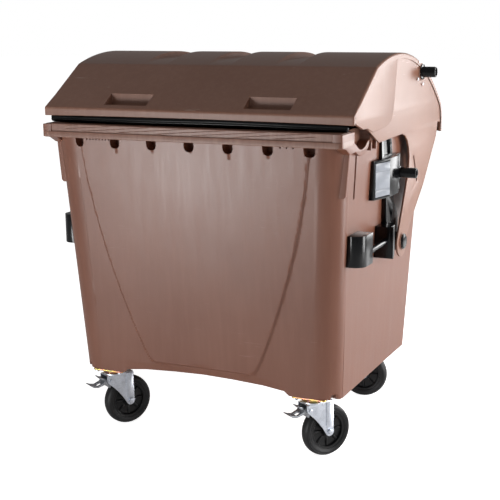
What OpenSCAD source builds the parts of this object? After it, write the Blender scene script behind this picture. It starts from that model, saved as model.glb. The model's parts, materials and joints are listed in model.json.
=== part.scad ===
// Four-wheeled waste container of about 1100 litres, with a roll-back dome lid.
// A moulded tub with a comb rim stands on four swivel castors. The lid turns on two side
// pivots and rolls back over the rear of the tub. Trunnion pins on the sides and opener pins
// on the lid let a refuse truck lift the container and open it.
// Millimetres. X runs along the length, Y from front to back, Z up from the ground.
// The origin is on the ground, below the middle of the whole container.

/* [Tub] */
// Height of the tub's underside above the ground
tub_bottom = 246; // [240:1:260]
// Height of the underside of the rim
rim_bottom = 1188; // [1150:1:1220]
// Length of the tub at its underside
tub_len_low = 1090; // [1060:2:1110]
// Length of the tub just below the rim
tub_len_top = 1180; // [1150:2:1184]
// Depth of the tub at its underside
tub_dep_low = 850; // [820:2:880]
// Depth of the tub just below the rim
tub_dep_top = 992; // [960:2:1010]
// Thickness of the moulded walls
wall = 6; // [6:0.5:10]
// Radius of the tub's vertical corners
corner_r = 72; // [50:1:90]

/* [Rim] */
// Length over the rim
rim_len = 1208; // [1196:2:1210]
// Depth over the rim
rim_dep = 1086; // [1060:2:1100]
// Height of the lower band of the rim
band_h = 23; // [18:1:26]
// Height of the upper step of the rim
step_h = 27; // [22:1:30]
// Width of one comb pocket
pocket_w = 40; // [36:1:44]
// Distance between the comb pockets
pocket_pitch = 156; // [150:1:160]

/* [Lid] */
// Length over the lid's side panels
lid_len = 1254; // [1250:1:1256]
// Thickness of the dome
lid_wall = 6; // [4:0.5:7]
// Thickness of the side panels and their arms
panel_t = 12; // [10:0.5:13]
// Radius of the dome's arc
dome_r = 862; // [855:1:865]
// Depth behind the tub's middle that the lid reaches
lid_back = 616; // [610:1:620]
// Height of the lid's pivots
pivot_z = 756; // [750:1:760]

/* [Pins] */
// Distance over the tips of the side pins
over_pins = 1370; // [1366:1:1374]
// Radius of the trunnion pins
trunnion_r = 20; // [18:0.5:21]
// Radius of the lid opener pins
opener_r = 21; // [18:0.5:22]
// Radius of the lid's pivot axles
pivot_r = 12; // [10:0.5:13]

/* [Castors] */
// Radius of the wheels
wheel_r = 100; // [98:0.5:100]
// Width of the tyres
tyre_w = 46; // [40:1:48]
// Distance from the swivel axis back to the axle
trail = 57; // [50:1:60]
// Distance between the swivel axes along the length
castor_span_x = 864; // [850:2:880]
// Distance between the swivel axes from front to back
castor_span_y = 750; // [740:2:760]
// Running clearance of each wheel and swivel, on the radius
run_clear = 0.05; // [0.02:0.01:0.08]

/* [Hidden] */
$fn = 64;

// the lid stands out behind the tub, so the tub's middle lies in front of the origin
tub_y = (rim_dep / 2 - lid_back) / 2;
rim_top = rim_bottom + band_h + step_h;
pocket_h = 39;
arch_top = 283;
arch_half = 352;
eps = 0.1;
// gap that keeps a fitting just clear of the wall it is bolted to
gap = 0.02;

// lid profile, seen from the side, measured from the tub's middle
dome_y = 10;
dome_z = 625;
lip_y = -490;
lip_top = 1294;
lip_bottom = 1262;
skirt_bottom = 1136;
front_angle = 107.5;
back_angle = 47;
slope = atan2(dome_z + dome_r * sin(front_angle) - lip_top,
    dome_y + dome_r * cos(front_angle) - lip_y);
panel_in = lid_len / 2 - panel_t;

// pivots and side pins
pivot_y = 85;
arm_r = 60;
trunnion_y = 60;
trunnion_z = 1031;
opener_y = 300;
opener_z = 1401;

// castors: which corner, and the way each one trails, in degrees from +X
front = -castor_span_y / 2;
rear = castor_span_y / 2;
left = -castor_span_x / 2;
right = castor_span_x / 2;
turn_front_left = 59;
turn_front_right = 55;
turn_rear_left = 172;
turn_rear_right = 190;
plate_t = 6;
crown_top = 226;
crown_t = 8;
leg_in = 27;
leg_t = 3.5;
bolt_r = 6;
tube_r = 10;
bearing_r = 14;
rim_r = 72;
kingpin_r = 8;
rod_y = -28;
rod_z = 197;
rod_r = 4;

module at_tub() translate([0, tub_y, 0]) children();
module both_sides() for (s = [0, 1]) mirror([s, 0, 0]) children();
module along_x(x0, x1, y, z, r) translate([x0, y, z]) rotate([0, 90, 0]) cylinder(r = r, h = x1 - x0);
module side_profile(x0, x1) translate([x0, 0, 0]) rotate([90, 0, 90]) linear_extrude(x1 - x0) children();
module box(x0, x1, y0, y1, z0, z1) translate([x0, y0, z0]) cube([x1 - x0, y1 - y0, z1 - z0]);

// ---------- tub ----------

module round_rect(l, d, r) {
    square([l - 2 * r, d], center = true);
    square([l, d - 2 * r], center = true);
    for (x = [-1, 1], y = [-1, 1]) translate([x * (l / 2 - r), y * (d / 2 - r)]) circle(r);
}

module corner_posts(l, d, r, z)
    for (x = [-1, 1], y = [-1, 1]) translate([x * (l / 2 - r), y * (d / 2 - r), z])
        cylinder(r = r, h = eps, $fn = 32);

function up_tub(z) = (z - tub_bottom) / (rim_bottom - tub_bottom);
function len_at(z) = tub_len_low + (tub_len_top - tub_len_low) * up_tub(z);
function dep_at(z) = tub_dep_low + (tub_dep_top - tub_dep_low) * up_tub(z);

// a tapered box with round vertical corners, its walls moved inwards by inset
module tapered(z0, z1, inset) hull() {
    corner_posts(len_at(z0) - 2 * inset, dep_at(z0) - 2 * inset, corner_r - inset, z0);
    corner_posts(len_at(z1) - 2 * inset, dep_at(z1) - 2 * inset, corner_r - inset, z1 - eps);
}

// everything inside the plane of the right-hand wall, to trim what is bolted to it
module inside_wall() rotate([90, 0, 0]) linear_extrude(2 * tub_dep_top, center = true)
    polygon([[0, tub_bottom], [tub_len_low / 2 + gap, tub_bottom], [tub_len_top / 2 + gap, rim_bottom],
        [tub_len_top / 2 + gap, rim_bottom + 200], [0, rim_bottom + 200]]);

module underside_arch() rotate([90, 0, 0]) linear_extrude(2 * tub_dep_top, center = true)
    polygon([[-arch_half, tub_bottom - 9], [arch_half, tub_bottom - 9], [arch_half - 15, tub_bottom + 16],
        [250, arch_top - 10], [120, arch_top - 3], [40, arch_top], [-40, arch_top], [-120, arch_top - 3],
        [-250, arch_top - 10], [15 - arch_half, tub_bottom + 16]]);

module rim_ring(l, d, r, z0, z1) translate([0, 0, z0]) linear_extrude(z1 - z0) difference() {
    round_rect(l, d, r);
    round_rect(tub_len_top - 2 * wall - 24, tub_dep_top - 2 * wall - 24, corner_r - wall - 12);
}

// hollow under the front and rear of the rim, between its skirt and the tub's wall
module rim_channel() for (s = [0, 1]) mirror([0, s, 0])
    box(-530, 530, tub_dep_top / 2 + 2, rim_dep / 2 - 14, rim_bottom - 1, rim_top - wall);

module pocket_shape() rotate([90, 0, 0]) linear_extrude(60) {
    translate([-pocket_w / 2, pocket_w / 2]) square([pocket_w, pocket_h - pocket_w / 2 + 12]);
    translate([0, pocket_w / 2]) circle(pocket_w / 2);
}

module comb_pockets() for (i = [-3:3])
    translate([i * pocket_pitch, 28 - tub_dep_top / 2, rim_bottom - pocket_h]) pocket_shape();

// cup below the rim on each side, with its open top under the lid's edge
module side_hoop() side_profile(tub_len_top / 2 - 22, rim_len / 2) difference() {
    union() {
        translate([-424, rim_bottom - 8]) square([174, 10]);
        intersection() {
            translate([-337, rim_bottom + 40]) circle(94);
            translate([-424, rim_bottom - 60]) square([174, 70]);
        }
    }
    translate([-337, rim_bottom + 44]) circle(84);
}

module corner_gusset() translate([0, 49 - tub_dep_top / 2, 0]) rotate([90, 0, 0]) linear_extrude(8)
    polygon([[tub_len_top / 2 - 75, rim_bottom + 2], [tub_len_top / 2 + 8, rim_bottom + 2],
        [tub_len_top / 2 - 13, 1008], [tub_len_top / 2 - 75, 1000]]);

module tub() color([0.55, 0.41, 0.36]) at_tub() difference() {
    union() {
        tapered(tub_bottom, rim_bottom + eps, 0);
        rim_ring(rim_len, rim_dep, 14, rim_bottom, rim_bottom + band_h);
        rim_ring(rim_len - 12, rim_dep - 12, 12, rim_bottom + band_h - eps, rim_top);
        both_sides() side_hoop();
        both_sides() corner_gusset();
    }
    difference() {
        tapered(tub_bottom + wall, rim_bottom + 100, wall);
        box(-arch_half - wall, arch_half + wall, -600, 600, 0, arch_top + wall);
        // the wall is doubled behind the comb pockets
        box(-530, 530, -600, 36 - tub_dep_top / 2, rim_bottom - 52, rim_bottom - eps);
        // and behind the groove in each side
        both_sides() box(tub_len_top / 2 - 24, tub_len_top, -376, -340, 982, 1156);
    }
    underside_arch();
    rim_channel();
    comb_pockets();
    // small cut-out in each side, next to the front castors
    both_sides() box(tub_len_low / 2 - 40, tub_len_low / 2 + 20, -406, -390, 0, tub_bottom + 22);
    // long shallow groove down each side
    both_sides() translate([-5, 0, 0]) difference() {
        box(tub_len_low / 2, rim_len / 2, -366, -350, 992, 1146);
        inside_wall();
    }
    cylinder(r = 26, h = 400);
}

module drain_plug() color([0.08, 0.08, 0.09]) at_tub() {
    difference() {
        translate([0, 0, arch_top - 16]) cylinder(r = 34, h = 12);
        // grip bar across the plug's hollow face
        for (y = [-1, 1]) translate([0, y * 15, arch_top - 17]) cylinder(r = 9, h = 8);
    }
    translate([0, 0, arch_top - 5]) cylinder(r = 25.9, h = 16);
}

module drain_seal() color([0.05, 0.05, 0.05]) at_tub() translate([0, 0, arch_top - 4]) difference() {
    cylinder(r = 33, h = 3.9);
    translate([0, 0, -1]) cylinder(r = 26.2, h = 8);
}

// ---------- side fittings, drawn for the right-hand side ----------

module trunnion_bracket() color([0.06, 0.06, 0.07]) difference() {
    union() {
        // block with a slanted face, and the housing of the pin behind it
        translate([0, 0, 958]) linear_extrude(145)
            polygon([[540, -206], [598, -190], [625, -84], [625, 24], [606, 30], [606, 98], [540, 98]]);
        along_x(600, 612, trunnion_y, trunnion_z, 33);
        // strap up to the rim and down to the lid's pivot
        side_profile(560, 600) polygon([[-92, 1000], [-112, 1187], [4, 1187], [36, 1000]]);
        pivot_strap(597, 0);
        along_x(560, 609, pivot_y, pivot_z, 36);
    }
    inside_wall();
    along_x(500, 700, trunnion_y, trunnion_z, trunnion_r);
    along_x(500, 700, pivot_y, pivot_z, pivot_r);
    // hollow of the strap
    side_profile(592, 620) polygon([[-76, 1110], [-88, 1175], [-18, 1175], [-2, 1110]]);
    // seat of the light panel
    reflector_plate(1.5);
    bolt_places() cylinder(r = 5, h = 60);
}

// strap down to the lid's pivot, drawn wider by grow where the side handle clears it
module pivot_strap(x1, grow) side_profile(560, x1)
    polygon([[-42 - grow, 970], [-26 - grow, 813], [40 - grow, 740 - grow], [pivot_y, 722 - grow],
        [120, 740], [112, 800], [106, 857], [52, 922], [52, 970]]);

// the light panel lies on the block's slanted face
module reflector_plate(grow) translate([598, -190, 0]) rotate([0, 0, atan2(106, 27)])
    translate([7 - grow / 2, -2.5, 968 - grow / 2]) cube([98 + grow, 3.5, 125 + grow]);

module reflector() color([0.78, 0.8, 0.85]) difference() {
    reflector_plate(0);
    // two shallow grooves across the panel
    translate([598, -190, 0]) rotate([0, 0, atan2(106, 27)]) for (z = [994, 1061])
        translate([0, -3, z]) cube([120, 1.1, 1.6]);
}

module trunnion_pin() color([0.05, 0.05, 0.06]) difference() {
    union() {
        along_x(586, over_pins / 2 - 4, trunnion_y, trunnion_z, trunnion_r);
        along_x(over_pins / 2 - 4.1, over_pins / 2, trunnion_y, trunnion_z, trunnion_r - 2);
        along_x(612, 619, trunnion_y, trunnion_z, trunnion_r + 4);
    }
    along_x(over_pins / 2 - 12, over_pins / 2 + 1, trunnion_y, trunnion_z, trunnion_r - 7);
}

module bolt_places() for (p = [[-170, 975], [-170, 1086], [80, 1086], [70, 975], [30, 840], [0, 1150]])
    translate([570, p[0], p[1]]) rotate([0, 90, 0]) children();

module bracket_bolts() color([0.7, 0.72, 0.74]) at_tub() both_sides() intersection() {
    difference() {
        bolt_places() cylinder(r = 5, h = 22);
        inside_wall();
    }
    box(500, 640, -400, 400, 700, 1300);
}

module pivot_axle() color([0.7, 0.72, 0.74])
    along_x(572, lid_len / 2 - 1, pivot_y, pivot_z, pivot_r);

// quarter-round fairing of the side handle, seen from above
module fairing_plan() intersection() {
    translate([540, 0]) square([93, 108]);
    union() {
        translate([590, 43]) circle(43);
        translate([540, 0]) square([50, 108]);
        translate([540, 43]) square([93, 80]);
    }
}

module side_handle() color([0.06, 0.06, 0.07]) difference() {
    union() {
        translate([0, -405, 750]) linear_extrude(113) fairing_plan();
        translate([0, -10, 724]) mirror([0, 1, 0]) linear_extrude(121) scale([1, 0.815]) fairing_plan();
        translate([0, -98, 724]) box(560, 645, 0, 10, 0, 121);
        translate([615, -300, 790]) rotate([-90, 0, 0]) cylinder(r = 12, h = 206);
    }
    inside_wall();
    pivot_strap(598, 1);
    // hollow backs of the two fairings
    box(560, 622, -390, -305, 758, 855);
    box(560, 622, -80, -22, 732, 837);
}

module on_side(side) at_tub() mirror([side == "left" ? 1 : 0, 0, 0]) children();

// ---------- lid ----------

function arc(r, a0, a1, n) = [for (i = [0:n]) let (a = a0 + (a1 - a0) * i / n)
    [dome_y + r * cos(a), dome_z + r * sin(a)]];
function about_pivot(r, a0, a1, n) = [for (i = [0:n]) let (a = a0 + (a1 - a0) * i / n)
    [pivot_y + r * cos(a), pivot_z + r * sin(a)]];

function dome_outer() = concat([[lip_y, lip_bottom], [lip_y, lip_top]],
    arc(dome_r, front_angle, back_angle, 24), [[lid_back - 3, 1218], [lid_back, 1196], [lid_back, skirt_bottom]]);
function dome_inner() = concat([[lip_y + lid_wall, lip_bottom - 1], [lip_y + lid_wall, lip_top - 4]],
    arc(dome_r - lid_wall, front_angle, back_angle, 24),
    [[lid_back - lid_wall - 3, 1214], [lid_back - lid_wall, 1192], [lid_back - lid_wall, skirt_bottom - 1]]);

// the side panel runs down into the arm that ends at the pivot
function panel_outline() = concat([[lip_y, lip_bottom], [lip_y, lip_top]],
    arc(dome_r, front_angle, back_angle, 24),
    [[lid_back - 3, 1218], [lid_back, 1196], [lid_back, skirt_bottom], [lid_back - 18, skirt_bottom],
        [lid_back - 26, 1176], [556, 1180], [545, 1127], [366, 942], [190, 808]],
    about_pivot(arm_r, 10, -195, 16),
    [[62, 838], [84, 878], [150, 1005], [166, 1080], [138, 1146], [66, 1178], [-210, 1175],
        [-343, 1238], [-392, 1240], [-478, 1270]]);

// thinner part of the side panel, behind the pivot
function panel_hollow() = concat([[90, 1210], [150, 1180], [188, 1120], [192, 1060], [176, 1000], [125, 900],
    [150, 845], [177, 830], [352, 960], [529, 1142], [535, 1195], [560, 1215]], arc(dome_r - 32, 50, 84, 12));

module grip_frame() translate([0, -441, 1325]) rotate([slope, 0, 0]) children();

module lid_grips() for (x = [-290, 290]) translate([x, 0, 0]) grip_frame() children();

module arm_slots() {
    side_profile(panel_in - 1, lid_len / 2 + 1) {
        translate([262, 972]) rotate(25) {
            square([14, 106], center = false);
            translate([7, 0]) circle(7);
            translate([7, 106]) circle(7);
        }
        translate([222, 1055]) square([8, 20]);
    }
}

module lid() color([0.57, 0.43, 0.38]) at_tub() difference() {
    union() {
        difference() {
            side_profile(-lid_len / 2, lid_len / 2) polygon(dome_outer());
            side_profile(-panel_in, panel_in) polygon(dome_inner());
            // below the dome, the ends belong to the side panels
            both_sides() box(panel_in - 1, lid_len, -700, 700, 0, 1800);
        }
        both_sides() side_profile(panel_in - 1.01, lid_len / 2) polygon(panel_outline());
        lid_grips() translate([-87, -37, -30]) cube([174, 74, 27]);
        // fold at the bottom of the front lip
        box(-panel_in, panel_in, lip_y, lip_y + 24, lip_bottom + 12, lip_bottom + 16);
        // second skin under the front slope, which keeps the lid's weight in front of its pivot
        side_profile(-panel_in, panel_in) polygon([[lip_y + 6, lip_top - 12], [lip_y + 6, lip_top - 3],
            [-250, 1442], [-250, 1432]]);
    }
    both_sides() side_profile(panel_in - 2, panel_in + panel_t / 2) polygon(panel_hollow());
    lid_grips() translate([-83, -33, -26]) cube([166, 66, 60]);
    both_sides() along_x(600, 640, pivot_y, pivot_z, pivot_r + 6);
    both_sides() arm_slots();
    // arches in the rear skirt
    for (i = [-3:3]) translate([i * 170, lid_back + 20, skirt_bottom - 4]) rotate([90, 0, 0])
        cylinder(r = 28, h = 60);
}

module lid_seal() color([0.03, 0.03, 0.03]) at_tub() difference() {
    box(-606, 606, lip_y + lid_wall, lip_y + 24, rim_top + 0.6, lip_bottom + 12);
    // the hollow of the bulb
    box(-602, 602, lip_y + lid_wall + 4, lip_y + 20, rim_top + 5, lip_bottom + 6);
}

module opener_pin() color([0.05, 0.05, 0.06]) difference() {
    union() {
        along_x(lid_len / 2, over_pins / 2 - 3, opener_y, opener_z, opener_r);
        along_x(over_pins / 2 - 3.1, over_pins / 2, opener_y, opener_z, opener_r - 2);
        along_x(lid_len / 2, lid_len / 2 + 5, opener_y, opener_z, opener_r + 10);
    }
    along_x(lid_len / 2 + 12, over_pins / 2 + 1, opener_y, opener_z, opener_r - 6);
}

module opener_rivets() color([0.7, 0.72, 0.74]) at_tub() both_sides()
    for (p = [[256, 1442], [246, 1376], [316, 1352]])
        along_x(lid_len / 2, lid_len / 2 + 2.5, p[0], p[1], 6);

module pivot_bush() color([0.85, 0.85, 0.82]) difference() {
    along_x(panel_in - 1, lid_len / 2, pivot_y, pivot_z, pivot_r + 6);
    along_x(panel_in - 2, lid_len / 2 + 1, pivot_y, pivot_z, pivot_r + run_clear);
}

module pivot_cap() color([0.05, 0.05, 0.06]) difference() {
    union() {
        along_x(lid_len / 2, lid_len / 2 + 5, pivot_y, pivot_z, 30);
        along_x(lid_len / 2 + 4.9, lid_len / 2 + 8, pivot_y, pivot_z, 26);
    }
    along_x(lid_len / 2 - 1, lid_len / 2 + 4, pivot_y, pivot_z, 22);
}

// ---------- castors, drawn about the swivel axis and trailing along +X ----------

module castor(x, y, turn) at_tub() translate([x, y, 0]) rotate([0, 0, turn]) children();
module at_axle() translate([trail, 0, wheel_r]) rotate([90, 0, 0]) children();

// mounting plate with its upper race
module castor_plate(x, y) color([0.78, 0.68, 0.38]) at_tub() translate([x, y, 0]) difference() {
    union() {
        translate([0, 0, tub_bottom - plate_t]) linear_extrude(plate_t) round_rect(135, 100, 12);
        translate([0, 0, crown_top + 2]) cylinder(r = 37, h = tub_bottom - plate_t - crown_top - 1.9);
    }
    plate_holes() cylinder(r = 5.5, h = 30);
    cylinder(r = kingpin_r, h = 300);
}

module plate_holes() for (x = [-52.5, 52.5], y = [-40, 40]) translate([x, y, tub_bottom - plate_t - 5]) children();

module castor_bolts() color([0.72, 0.74, 0.76]) at_tub() for (x = [left, right], y = [front, rear])
    translate([x, y, 0]) plate_holes() {
        translate([0, 0, 5]) cylinder(r = 5, h = plate_t);
        translate([0, 0, -1.5]) cylinder(r = 9.5, h = 6.5, $fn = 6);
    }

module kingpins() color([0.7, 0.72, 0.74]) at_tub() for (x = [left, right], y = [front, rear])
    translate([x, y, crown_top - crown_t - 9]) {
        translate([0, 0, 8.5]) cylinder(r = kingpin_r, h = tub_bottom - crown_top + crown_t + 0.4);
        cylinder(r = 13, h = 8.6);
    }

// outline of one leg, with its vertical rear edge and its slanted front edge
module leg_outline() {
    polygon([[73, crown_top - 6], [73, wheel_r], [41, wheel_r - 8], [24, 119], [6, 143], [-12, 163], [-32, 181],
        [-43, 192], [-46, 206], [-46, crown_top - 6]]);
    translate([trail, wheel_r]) circle(18);
}

module leg() {
    translate([0, leg_in + leg_t, 0]) rotate([90, 0, 0]) linear_extrude(leg_t) leg_outline();
    // raised rib above the axle
    translate([0, leg_in + leg_t + 3, 0]) rotate([90, 0, 0]) linear_extrude(3.1) translate([40, 118])
        square([30, crown_top - 126]);
}

module fork() color([0.72, 0.75, 0.78]) difference() {
    union() {
        translate([0, 0, crown_top - crown_t]) cylinder(r = 42, h = crown_t);
        translate([-44, -leg_in - 1, crown_top - crown_t]) cube([117, 2 * leg_in + 2, 4]);
        for (s = [0, 1]) mirror([0, s, 0]) leg();
    }
    translate([0, 0, 150]) cylinder(r = kingpin_r + run_clear, h = 100);
    at_axle() cylinder(r = bolt_r, h = 100, center = true);
    translate([rod_y, 0, rod_z]) rotate([90, 0, 0]) cylinder(r = rod_r, h = 100, center = true);
}

module axle() color([0.66, 0.68, 0.7]) {
    at_axle() {
        cylinder(r = bolt_r, h = 2 * (leg_in + leg_t) + 14, center = true);
        for (s = [0, 1]) mirror([0, 0, s]) translate([0, 0, leg_in + leg_t + 0.1]) cylinder(r = 11, h = 7, $fn = 6);
        difference() {
            cylinder(r = tube_r, h = 2 * leg_in - 0.2, center = true);
            cylinder(r = bolt_r - 1, h = 80, center = true);
        }
    }
}

module bearing() color([0.6, 0.61, 0.63]) at_axle() difference() {
    cylinder(r = bearing_r, h = 50, center = true);
    cylinder(r = tube_r + run_clear, h = 60, center = true);
}

module hub() color([0.05, 0.05, 0.05]) at_axle() rotate_extrude() polygon([
    [bearing_r, -25], [22, -25], [24, -8], [60, -5], [62, -17], [rim_r, -19], [rim_r, 19],
    [62, 17], [60, 5], [24, 8], [22, 25], [bearing_r, 25]]);

module tyre() color([0.09, 0.09, 0.09]) at_axle() rotate_extrude($fn = 96) polygon([
    [rim_r, -19], [78, -tyre_w / 2], [88, -tyre_w / 2], [96, -17], [99, -11], [wheel_r, -4], [wheel_r, 4],
    [99, 11], [96, 17], [88, tyre_w / 2], [78, tyre_w / 2], [rim_r, 19]]);

module brake_rod() color([0.66, 0.68, 0.7]) translate([rod_y, 0, rod_z]) rotate([90, 0, 0]) {
    cylinder(r = rod_r, h = 2 * (leg_in + leg_t) + 6, center = true);
    for (s = [0, 1]) mirror([0, 0, s]) translate([0, 0, leg_in + leg_t + 0.1]) cylinder(r = 6.5, h = 3);
}

module lever_plan(w) rotate([90, 0, 0]) linear_extrude(w, center = true) children();

// two-armed foot lever with its brake shoe above the tyre
module brake_pedal() color([0.7, 0.72, 0.74]) difference() {
    union() {
        // arm that is pressed to lock, with its foot pad
        lever_plan(44) polygon([[-46, 198], [-54, 184], [-82, 177], [-102, 181], [-117, 192], [-115, 194],
            [-101, 188], [-82, 184], [-58, 193], [-50, 204]]);
        // arm that is pressed to release
        lever_plan(34) polygon([[-36, 203], [-50, 199], [-66, 207], [-77, 218], [-74, 220], [-62, 213], [-42, 208]]);
        translate([rod_y, 0, rod_z]) rotate([90, 0, 0]) cylinder(r = 11, h = 44, center = true);
        lever_plan(44) polygon([[-54, 184], [-28, 187], [-28, 207], [-50, 204]]);
        // shoe, just clear of the tyre
        lever_plan(36) polygon([[-40, 190], [-34, 168], [-27, 166], [-20, 190]]);
    }
    translate([rod_y, 0, rod_z]) rotate([90, 0, 0]) cylinder(r = rod_r + run_clear, h = 100, center = true);
    // window between the foot pad and the lever's root
    translate([-82, -12, 150]) cube([22, 24, 50]);
}

tub();
drain_plug();
drain_seal();
on_side("left") trunnion_bracket();  // trunnion_bracket_left
on_side("right") trunnion_bracket();  // trunnion_bracket_right
on_side("left") trunnion_pin();  // trunnion_pin_left
on_side("right") trunnion_pin();  // trunnion_pin_right
on_side("left") reflector();  // reflector_left
on_side("right") reflector();  // reflector_right
on_side("left") side_handle();  // side_handle_left
on_side("right") side_handle();  // side_handle_right
bracket_bolts();
on_side("left") pivot_axle();  // pivot_axle_left
on_side("right") pivot_axle();  // pivot_axle_right
castor_plate(left, front);  // castor_plate_front_left
castor_plate(right, front);  // castor_plate_front_right
castor_plate(left, rear);  // castor_plate_rear_left
castor_plate(right, rear);  // castor_plate_rear_right
castor_bolts();
kingpins();
lid();
lid_seal();
on_side("left") opener_pin();  // opener_pin_left
on_side("right") opener_pin();  // opener_pin_right
opener_rivets();
on_side("left") pivot_bush();  // pivot_bush_left
on_side("right") pivot_bush();  // pivot_bush_right
on_side("left") pivot_cap();  // pivot_cap_left
on_side("right") pivot_cap();  // pivot_cap_right
castor(left, front, turn_front_left) fork();  // fork_front_left
castor(right, front, turn_front_right) fork();  // fork_front_right
castor(left, rear, turn_rear_left) fork();  // fork_rear_left
castor(right, rear, turn_rear_right) fork();  // fork_rear_right
castor(left, front, turn_front_left) axle();  // axle_front_left
castor(right, front, turn_front_right) axle();  // axle_front_right
castor(left, rear, turn_rear_left) axle();  // axle_rear_left
castor(right, rear, turn_rear_right) axle();  // axle_rear_right
castor(left, front, turn_front_left) hub();  // hub_front_left
castor(right, front, turn_front_right) hub();  // hub_front_right
castor(left, rear, turn_rear_left) hub();  // hub_rear_left
castor(right, rear, turn_rear_right) hub();  // hub_rear_right
castor(left, front, turn_front_left) tyre();  // tyre_front_left
castor(right, front, turn_front_right) tyre();  // tyre_front_right
castor(left, rear, turn_rear_left) tyre();  // tyre_rear_left
castor(right, rear, turn_rear_right) tyre();  // tyre_rear_right
castor(left, front, turn_front_left) bearing();  // bearing_front_left
castor(right, front, turn_front_right) bearing();  // bearing_front_right
castor(left, rear, turn_rear_left) bearing();  // bearing_rear_left
castor(right, rear, turn_rear_right) bearing();  // bearing_rear_right
castor(left, front, turn_front_left) brake_pedal();  // brake_pedal_left
castor(right, front, turn_front_right) brake_pedal();  // brake_pedal_right
castor(left, front, turn_front_left) brake_rod();  // brake_rod_left
castor(right, front, turn_front_right) brake_rod();  // brake_rod_right
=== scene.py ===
# %% [markdown]
# # A four-wheeled waste container with a dome lid
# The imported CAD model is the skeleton: it says where every wall, pin and castor is, and how it moves.
# This notebook puts the looks on it. The two big mouldings, tub and lid, are rebuilt as fine meshes,
# because a CAD solid has neither the shallow relief nor the soft edges of moulded plastic. The metal
# and the small fittings keep their CAD shape and get rounded edges and a finish each.

# %% The tools and the frame
import json
import math
import bpy
import numpy as np
from mathutils import Matrix, Vector


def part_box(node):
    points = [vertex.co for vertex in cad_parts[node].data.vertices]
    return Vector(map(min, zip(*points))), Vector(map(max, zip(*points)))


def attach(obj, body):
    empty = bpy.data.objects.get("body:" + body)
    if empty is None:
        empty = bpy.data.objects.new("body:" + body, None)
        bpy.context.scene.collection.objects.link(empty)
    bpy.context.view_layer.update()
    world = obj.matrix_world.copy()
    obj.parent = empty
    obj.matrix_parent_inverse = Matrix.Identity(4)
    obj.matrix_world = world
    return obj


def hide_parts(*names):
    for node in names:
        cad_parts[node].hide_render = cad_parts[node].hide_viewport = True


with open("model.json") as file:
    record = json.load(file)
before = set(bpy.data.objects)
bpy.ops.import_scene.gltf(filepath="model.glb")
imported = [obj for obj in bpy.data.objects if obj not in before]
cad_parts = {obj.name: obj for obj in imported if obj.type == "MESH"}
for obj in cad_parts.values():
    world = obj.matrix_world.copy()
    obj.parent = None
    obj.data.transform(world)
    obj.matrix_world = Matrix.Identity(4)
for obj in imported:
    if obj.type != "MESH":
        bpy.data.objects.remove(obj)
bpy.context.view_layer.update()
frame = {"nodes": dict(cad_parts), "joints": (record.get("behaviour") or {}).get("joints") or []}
tub_low, tub_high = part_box("tub")
lid_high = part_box("lid")[1]
tub_y = (tub_low.y + tub_high.y) / 2

# %% [markdown]
# ## Camera
# The camera stands to the right of the front at about a person's eye height and looks slightly down.
# A long lens keeps the verticals nearly parallel. Its three axes are worked out from yaw, dip and roll,
# which reads more clearly than a quaternion.

# %% Camera
eye = Vector((1.9127, -4.1268, 1.655))
yaw, dip, roll = -0.4363, -0.2111, -0.0107
forward = Vector((math.sin(yaw) * math.cos(dip), math.cos(yaw) * math.cos(dip), math.sin(dip)))
level = Vector((math.cos(yaw), -math.sin(yaw), 0))
upright = level.cross(forward)
across = math.cos(roll) * level + math.sin(roll) * upright
up = math.cos(roll) * upright - math.sin(roll) * level
camera = bpy.data.objects.new("camera", bpy.data.cameras.new("camera"))
camera.data.lens = 81.25
camera.data.clip_end = 60
camera.matrix_world = Matrix.Translation(eye) @ Matrix((across, up, -forward)).transposed().to_4x4()
bpy.context.scene.collection.objects.link(camera)
bpy.context.scene.camera = camera
print("camera at", tuple(eye))

# %% [markdown]
# ## Finishes as arithmetic
# A procedural finish is a graph of nodes. Written node by node it is long and hard to read, so a small
# class wraps an output socket and lets +, -, * and / add Math nodes. `Finish.add` makes any other node
# from its type, its settings and the values or wires of its sockets.

# %% A wire that can be used in sums, and a finish that makes nodes
class Wire:
    def __init__(self, finish, socket):
        self.finish, self.socket = finish, socket

    def sum(self, operation, first, second):
        return self.finish.add("ShaderNodeMath", {"operation": operation}, {0: first, 1: second})

    def __add__(self, other): return self.sum("ADD", self, other)
    def __radd__(self, other): return self.sum("ADD", other, self)
    def __sub__(self, other): return self.sum("SUBTRACT", self, other)
    def __rsub__(self, other): return self.sum("SUBTRACT", other, self)
    def __mul__(self, other): return self.sum("MULTIPLY", self, other)
    def __rmul__(self, other): return self.sum("MULTIPLY", other, self)
    def __truediv__(self, other): return self.sum("DIVIDE", self, other)

    def between(self, low, high):
        """0 below low, 1 above high, and a smooth step between."""
        return self.finish.add("ShaderNodeMapRange", {"interpolation_type": "SMOOTHSTEP"},
                               {"Value": self, "From Min": low, "From Max": high})


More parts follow.
